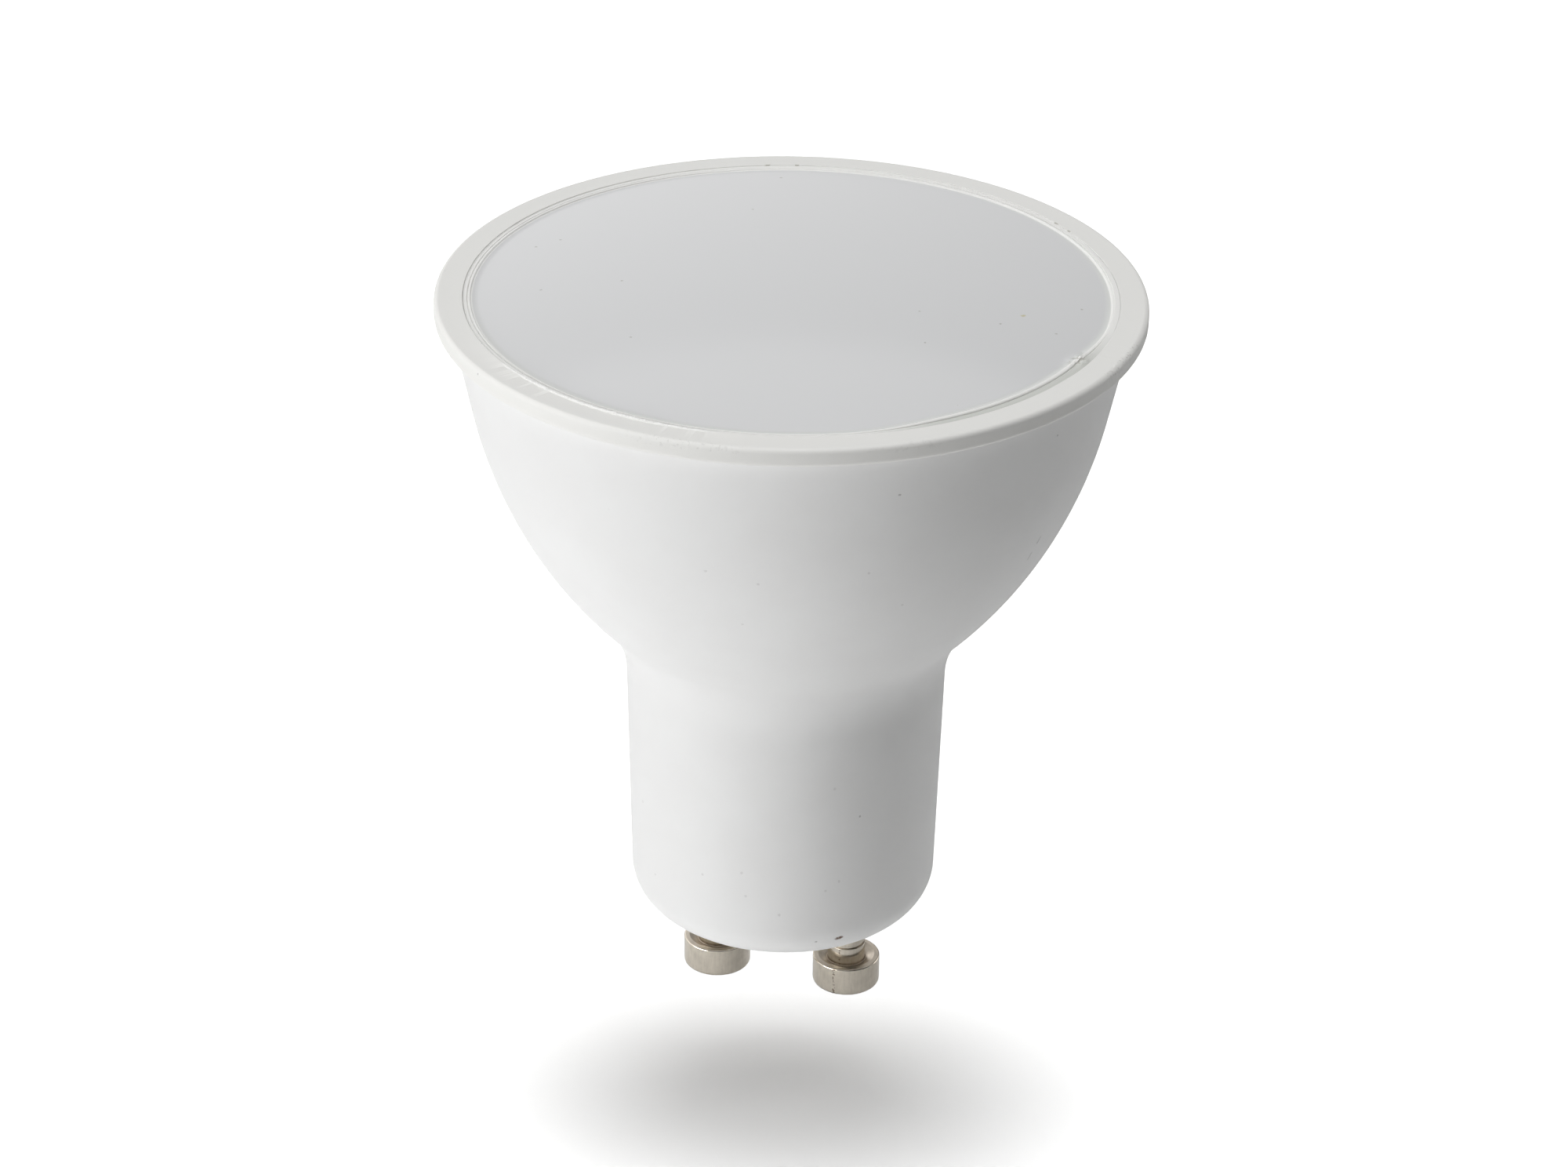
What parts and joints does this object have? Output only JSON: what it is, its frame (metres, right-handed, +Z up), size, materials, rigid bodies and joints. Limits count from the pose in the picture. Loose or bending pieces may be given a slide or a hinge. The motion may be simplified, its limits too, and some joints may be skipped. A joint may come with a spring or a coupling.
{
  "type": "gu10 spotlight bulb",
  "caption": "White LED spotlight bulb with a flared bowl, milky front diffuser in a round ring, and a two-pin twist-lock cap.",
  "frame": {"origin": "centre of the flat base face that meets the lampholder, on the lamp's axis between the two pins", "axes": "+Z runs up the lamp's axis from the cap to the diffuser, the pins stand on the X axis and point along -Z, +Y completes the right-handed frame"},
  "size_m": [0.05, 0.05, 0.0563],
  "materials": {
    "housing_white": "satin moulded white",
    "ring_white": "satin moulded white, slightly warmer and lightly scuffed",
    "diffuser_milky": "milky gloss plastic",
    "pin_nickel": "nickel-plated brass",
    "cup_aluminium": "plain pressed aluminium",
    "led_board_white": "white solder mask on an aluminium board",
    "led_package": "white package with a yellow phosphor window",
    "screw_steel": "zinc-plated steel",
    "circuit_board_green": "green solder mask on glass-fibre board",
    "resistor_enamel": "flameproof enamel",
    "capacitor_red": "dipped red film capacitor",
    "ferrite": "dark grey ferrite",
    "copper_winding": "enamelled copper wire",
    "capacitor_sleeve": "dark shrink sleeve",
    "chip_black": "black moulding compound",
    "chip_resistor": "black film on ceramic with tinned ends",
    "wire_white": "white insulation",
    "wire_red": "red insulation",
    "wire_black": "black insulation"
  },
  "bodies": {
    "root": {"housing": "housing_white", "front_ring": "ring_white", "diffuser": "diffuser_milky", "contact_pin_left": "pin_nickel", "contact_pin_right": "pin_nickel", "heat_sink": "cup_aluminium", "led_board": "led_board_white", "board_screw_front": "screw_steel", "board_screw_back": "screw_steel", "driver_board": "circuit_board_green", "fuse_resistor": "resistor_enamel", "film_capacitor": "capacitor_red", "choke_core": "ferrite", "choke_winding": "copper_winding", "filter_capacitor": "capacitor_sleeve", "output_capacitor": "capacitor_sleeve", "bridge_rectifier": "chip_black", "driver_chip": "chip_black", "output_diode": "chip_black", "sense_resistor_1": "chip_resistor", "sense_resistor_2": "chip_resistor", "start_resistor": "chip_resistor", "input_wire_left": "wire_white", "input_wire_right": "wire_white", "output_wire_positive": "wire_red", "output_wire_negative": "wire_black", "led_1": "led_package", "led_2": "led_package", "led_3": "led_package", "led_4": "led_package", "led_5": "led_package", "led_6": "led_package", "led_7": "led_package", "led_8": "led_package"}
  },
  "joints": []
}
